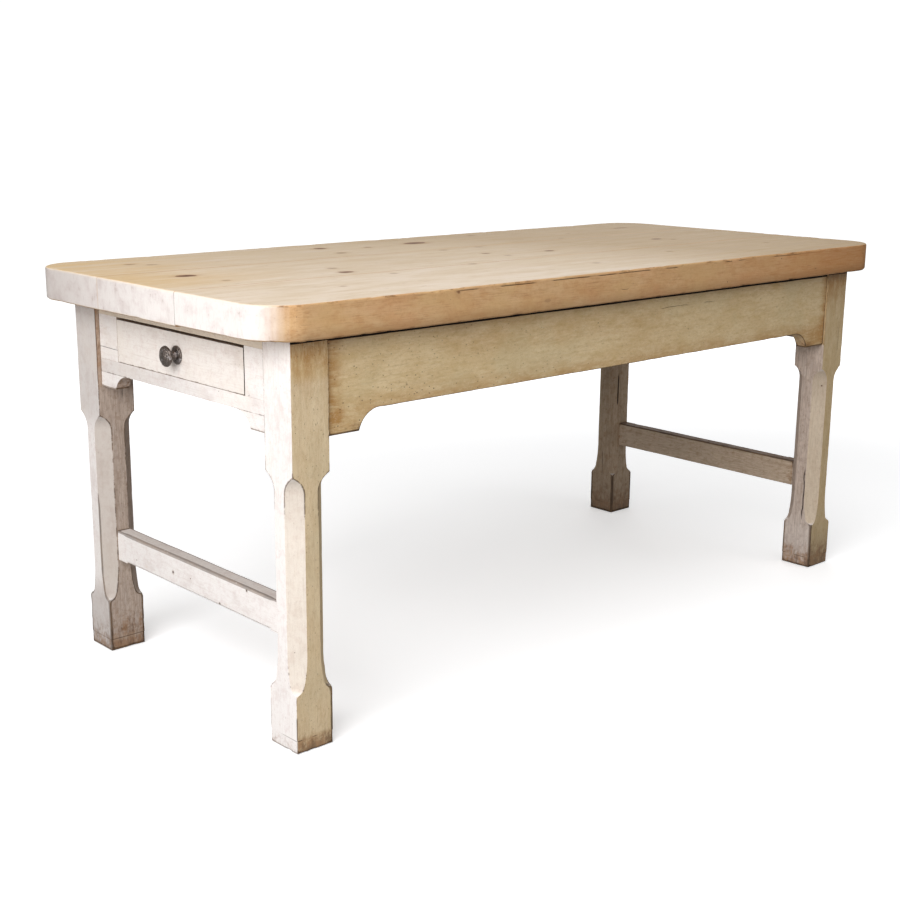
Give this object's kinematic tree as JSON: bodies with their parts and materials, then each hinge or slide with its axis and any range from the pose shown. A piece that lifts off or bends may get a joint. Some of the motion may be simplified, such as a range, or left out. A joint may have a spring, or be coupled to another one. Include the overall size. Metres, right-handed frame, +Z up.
{
  "type": "kitchen table",
  "caption": "Long farmhouse dining table with thick plank top, stopped-chamfer square legs, bracketed aprons, end stretchers and a drawer at the end.",
  "frame": {"origin": "on the floor under the middle of the tabletop", "axes": "+X along the table's length, -X is the end whose drawer faces the viewer, +Y across the width, +Z up"},
  "size_m": [1.738, 0.778, 0.775],
  "materials": {
    "top_wood": "old waxed pine, pale and lightly limed",
    "painted_wood": "worn cream limewash over pine",
    "bare_wood": "bare old pine",
    "dark_iron": "dark hammered iron, waxed",
    "steel": "dull steel"
  },
  "bodies": {
    "table": {"apron_front": "painted_wood", "apron_rear": "painted_wood", "button_screws": "steel", "cross_rail_left": "bare_wood", "cross_rail_right": "bare_wood", "drawer_stops": "bare_wood", "end_bracket_front_left": "painted_wood", "end_bracket_front_right": "painted_wood", "end_bracket_rear_left": "painted_wood", "end_bracket_rear_right": "painted_wood", "end_stile_front_left": "painted_wood", "end_stile_front_right": "painted_wood", "end_stile_rear_left": "painted_wood", "end_stile_rear_right": "painted_wood", "foot_tip_front_left": "painted_wood", "foot_tip_front_right": "painted_wood", "foot_tip_rear_left": "painted_wood", "foot_tip_rear_right": "painted_wood", "kicker_left": "bare_wood", "kicker_right": "bare_wood", "leg_front_left": "painted_wood", "leg_front_right": "painted_wood", "leg_rear_left": "painted_wood", "leg_rear_right": "painted_wood", "lower_drawer_rail_left": "painted_wood", "lower_drawer_rail_right": "painted_wood", "runner_front_left": "bare_wood", "runner_front_right": "bare_wood", "runner_rear_left": "bare_wood", "runner_rear_right": "bare_wood", "stretcher_left": "painted_wood", "stretcher_right": "painted_wood", "top_buttons": "bare_wood", "top_dowels": "bare_wood", "top_plank_front": "top_wood", "top_plank_middle": "top_wood", "top_plank_rear": "top_wood", "upper_drawer_rail_left": "painted_wood", "upper_drawer_rail_right": "painted_wood"},
    "drawer_left": {"drawer_left_back": "bare_wood", "drawer_left_bottom": "bare_wood", "drawer_left_front": "painted_wood", "drawer_left_knob": "dark_iron", "drawer_left_knob_nut": "steel", "drawer_left_nails": "steel", "drawer_left_rosette": "dark_iron", "drawer_left_side_front": "bare_wood", "drawer_left_side_rear": "bare_wood"},
    "drawer_right": {"drawer_right_back": "bare_wood", "drawer_right_bottom": "bare_wood", "drawer_right_front": "painted_wood", "drawer_right_knob": "dark_iron", "drawer_right_knob_nut": "steel", "drawer_right_nails": "steel", "drawer_right_rosette": "dark_iron", "drawer_right_side_front": "bare_wood", "drawer_right_side_rear": "bare_wood"}
  },
  "joints": [
    {"name": "drawer_left_slide", "type": "slide", "parent": "table", "child": "drawer_left", "axis": [-1, 0, 0], "range_m": [0, 0.3]},
    {"name": "drawer_right_slide", "type": "slide", "parent": "table", "child": "drawer_right", "axis": [1, 0, 0], "range_m": [0, 0.3]}
  ]
}
